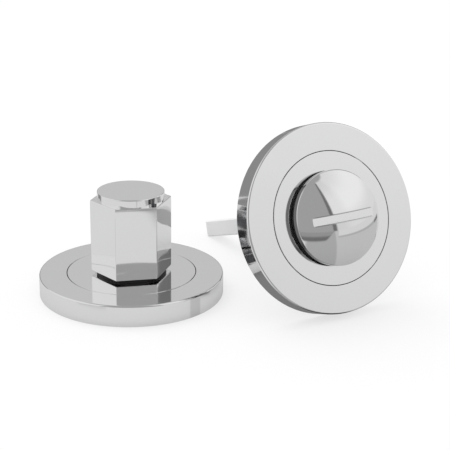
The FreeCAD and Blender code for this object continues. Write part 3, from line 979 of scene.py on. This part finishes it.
class LockRosesOperator(bpy.types.Operator):
    """Make the polished ring covers and inner discs of both halves"""
    bl_idname = "turn_lock.roses"
    bl_label = "Roses"

    def execute(self, context):
        rose = context.scene.lock_rose
        material = chrome(context.scene.lock_finish)
        for half, place in PLACES.items():
            cover = turned_piece(half + "_ring_cover", outer_rose_outline(rose), place)
            dress(cover, half + "_outer_rose", "roses", material)
            disc = turned_piece(half + "_disc", inner_rose_outline(rose), place)
            cutters = []
            for index in range(3):
                spot = Matrix.Rotation(math.radians(90 + index * 120), 4, "Z") @ Matrix.Translation(
                    (rose.tapped_circle, 0, 0))
                cutters.append(rod_cutter(rose.tapped_radius, rose.plate - MM, rose.tapped_top,
                                          place @ spot))
            cut(disc, cutters)
            dress(disc, half + "_inner_rose", "roses", material)
        return {"FINISHED"}


class LockKnobOperator(bpy.types.Operator):
    """Make the hexagonal knob with its cap, stem and socket"""
    bl_idname = "turn_lock.knob"
    bl_label = "Knob"

    def execute(self, context):
        knob = context.scene.lock_knob
        sections, heights = knob_levels(knob, context.scene.lock_stem)
        place = PLACES["turn"] @ Matrix.Rotation(knob.turned, 4, "Z")
        piece = new_piece("hex_knob", [(section_grid(sections, heights), False, True)], place)
        dress(piece, "turn_knob", "turn", chrome(context.scene.lock_finish))
        return {"FINISHED"}


class LockDomeOperator(bpy.types.Operator):
    """Make the release dome with its coin slot and stem"""
    bl_idname = "turn_lock.dome"
    bl_label = "Dome"

    def execute(self, context):
        dome = context.scene.lock_dome
        place = PLACES["release"] @ Matrix.Rotation(dome.slot_turned, 4, "Z")
        piece = new_piece("coin_dome", dome_grids(dome, context.scene.lock_stem), place)
        finish = context.scene.lock_finish
        # The dome's chrome carries painted shade on its side wall and along the slot's edges
        material = dome_painted_shade(chrome(finish, "dome_chrome"), place, dome, finish)
        dress(piece, "release_dome", "release", material)
        return {"FINISHED"}


class LockBushesOperator(bpy.types.Operator):
    """Make the black nylon bushes of both halves"""
    bl_idname = "turn_lock.bushes"
    bl_label = "Bushes"

    def execute(self, context):
        scene = context.scene
        material = nylon(scene.lock_finish)
        bases = {"turn": (scene.lock_knob.flange_radius, scene.lock_knob.base),
                 "release": (scene.lock_dome.flange_radius, scene.lock_dome.base)}
        for half, (flange_radius, base) in bases.items():
            outline = bush_outline(scene.lock_rose, scene.lock_stem, flange_radius, base)
            piece = turned_piece(half + "_nylon_bush", outline, PLACES[half], BUSH_AROUND)
            dress(piece, half + "_bush", "roses", material)
        return {"FINISHED"}


class LockSteelOperator(bpy.types.Operator):
    """Finish the plates, screws, washers, circlips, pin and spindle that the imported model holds"""
    bl_idname = "turn_lock.steel"
    bl_label = "Steel pieces"

    def execute(self, context):
        finish = context.scene.lock_finish
        flat = (0.0, math.radians(90), 0.0)
        plate = rolled("plated_plate", finish.plate, roughness=0.30, grain=0.35, spread=(0.86, 1.12),
                       rotation=flat)
        screw = rolled("plated_screw", finish.screw, roughness=0.26, grain=0.2, spread=(0.85, 1.15))
        spring = rolled("spring_steel", finish.spring, roughness=0.26, grain=0.3, spread=(0.75, 1.25))
        lean = PLACES["release"].to_3x3().inverted().to_euler()
        drawn = rolled("drawn_spindle", finish.spindle, roughness=0.45, grain=0.5, spread=(0.95, 1.04),
                       rotation=tuple(lean))
        # The spindle's finish carries painted shade in mirrors
        finishes = {"base_plate": plate, "plate_screws": screw, "wave_washer": spring,
                    "thrust_washer": spring, "circlip": spring, "pin": spring,
                    "spindle": satin_with_mirror_shade(drawn, finish)}
        for name, node in frame["nodes"].items():
            material = finishes.get(name.split("_", 1)[1])
            if material:
                node.data.materials.clear()
                node.data.materials.append(material)
        return {"FINISHED"}


class LockPanel(bpy.types.Panel):
    """Sizes, finishes and steps of the lock set"""
    bl_idname = "VIEW3D_PT_turn_lock"
    bl_label = "Turn Lock"
    bl_space_type = "VIEW_3D"
    bl_region_type = "UI"
    bl_category = "Turn Lock"

    def draw(self, context):
        for operator in OPERATORS:
            self.layout.operator(operator.bl_idname)
        for name in GROUPS:
            box = self.layout.box()
            settings = getattr(context.scene, name)
            for label in settings.__annotations__:
                box.prop(settings, label, text=label.replace("_", " ").capitalize())


OPERATORS = (LockStudioOperator, LockRosesOperator, LockKnobOperator, LockDomeOperator, LockBushesOperator,
             LockSteelOperator)
GROUPS = {"lock_rose": LockRoseSizes, "lock_stem": LockStemSizes, "lock_knob": LockKnobSizes,
          "lock_dome": LockDomeSizes, "lock_finish": LockFinish, "lock_studio": LockStudio,
          "lock_floor": LockFloor}


def register():
    """Add the classes, and the settings to the scene."""
    for kind in (*GROUPS.values(), *OPERATORS, LockPanel):
        bpy.utils.register_class(kind)
    for name, kind in GROUPS.items():
        setattr(bpy.types.Scene, name, bpy.props.PointerProperty(type=kind))


def unregister():
    """Remove the settings and the classes."""
    for name in GROUPS:
        delattr(bpy.types.Scene, name)
    for kind in reversed((*GROUPS.values(), *OPERATORS, LockPanel)):
        bpy.utils.unregister_class(kind)


def main():
    """Build everything in order."""
    register()
    bpy.ops.turn_lock.studio()
    bpy.ops.turn_lock.roses()
    bpy.ops.turn_lock.knob()
    bpy.ops.turn_lock.dome()
    bpy.ops.turn_lock.bushes()
    bpy.ops.turn_lock.steel()


if __name__ == "__main__":
    main()
